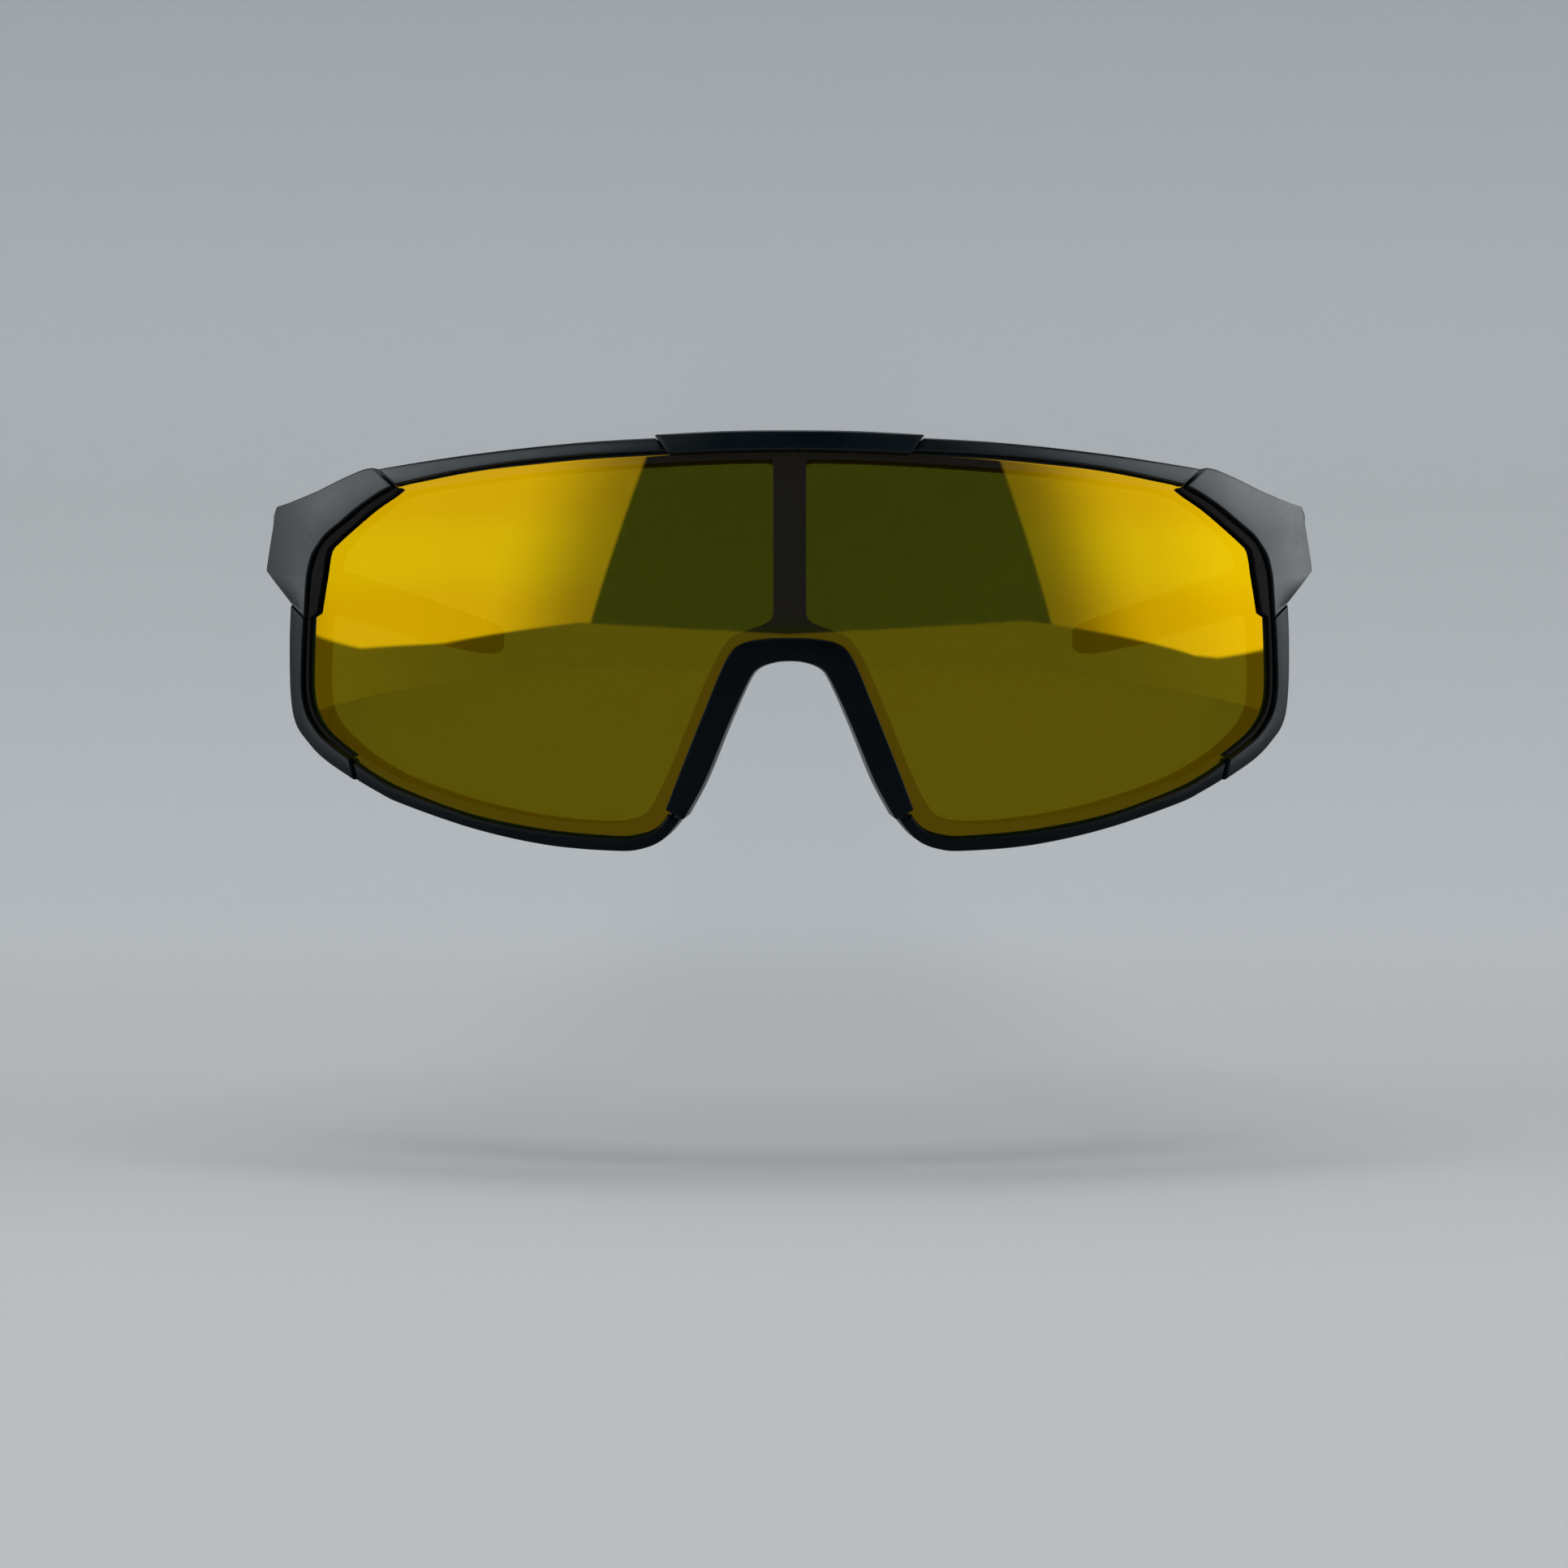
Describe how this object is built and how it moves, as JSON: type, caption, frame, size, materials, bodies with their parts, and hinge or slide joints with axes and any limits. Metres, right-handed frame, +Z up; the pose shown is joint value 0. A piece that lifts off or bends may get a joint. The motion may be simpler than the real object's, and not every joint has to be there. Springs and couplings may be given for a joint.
{
  "type": "glacier glasses",
  "caption": "Full-rim wraparound shield sunglasses with a mirrored amber lens, segmented black rim, nose bridge with soft pads and folding temples.",
  "frame": {"origin": "centre of the bounding box in plan, at the height of the lowest point of the rim", "axes": "+Y runs back along the temples from the lens (the lens faces -Y), +Z is up, +X is to the wearer's left"},
  "size_m": [0.1448, 0.1674, 0.054],
  "materials": {
    "lens_amber": "amber mirror-coated polycarbonate",
    "frame_satin": "satin black moulded nylon",
    "frame_matt": "matt black moulded nylon",
    "soft_rubber": "matt black soft rubber",
    "hinge_steel": "brushed stainless steel"
  },
  "bodies": {
    "front": {"lens": "lens_amber", "lens_carrier": "frame_matt", "brow_bar": "frame_satin", "brow_clip": "frame_satin", "endpiece_left": "frame_satin", "endpiece_right": "frame_satin", "side_rim_left": "frame_satin", "side_rim_right": "frame_satin", "lower_rim_left": "frame_satin", "lower_rim_right": "frame_satin", "nose_bridge": "frame_satin", "nose_pad_left": "soft_rubber", "nose_pad_right": "soft_rubber", "lens_gasket_left": "soft_rubber", "lens_gasket_right": "soft_rubber", "hinge_block_left": "hinge_steel", "hinge_block_right": "hinge_steel", "block_screw_left": "hinge_steel", "block_screw_right": "hinge_steel", "hinge_pin_left": "hinge_steel", "hinge_pin_right": "hinge_steel"},
    "temple_left": {"temple_arm_left": "frame_satin", "temple_tip_left": "soft_rubber", "temple_core_left": "hinge_steel", "hinge_leaf_left": "hinge_steel", "leaf_screw_left": "hinge_steel"},
    "temple_right": {"temple_arm_right": "frame_satin", "temple_tip_right": "soft_rubber", "temple_core_right": "hinge_steel", "hinge_leaf_right": "hinge_steel", "leaf_screw_right": "hinge_steel"}
  },
  "joints": [
    {"name": "fold_left", "type": "hinge", "parent": "front", "child": "temple_left", "pos_m": [0.0672, -0.0365, 0.0426], "axis": [0, 0, 1], "range_deg": [0, 90]},
    {"name": "fold_right", "type": "hinge", "parent": "front", "child": "temple_right", "pos_m": [-0.0672, -0.0365, 0.0426], "axis": [0, 0, -1], "range_deg": [0, 78]}
  ]
}
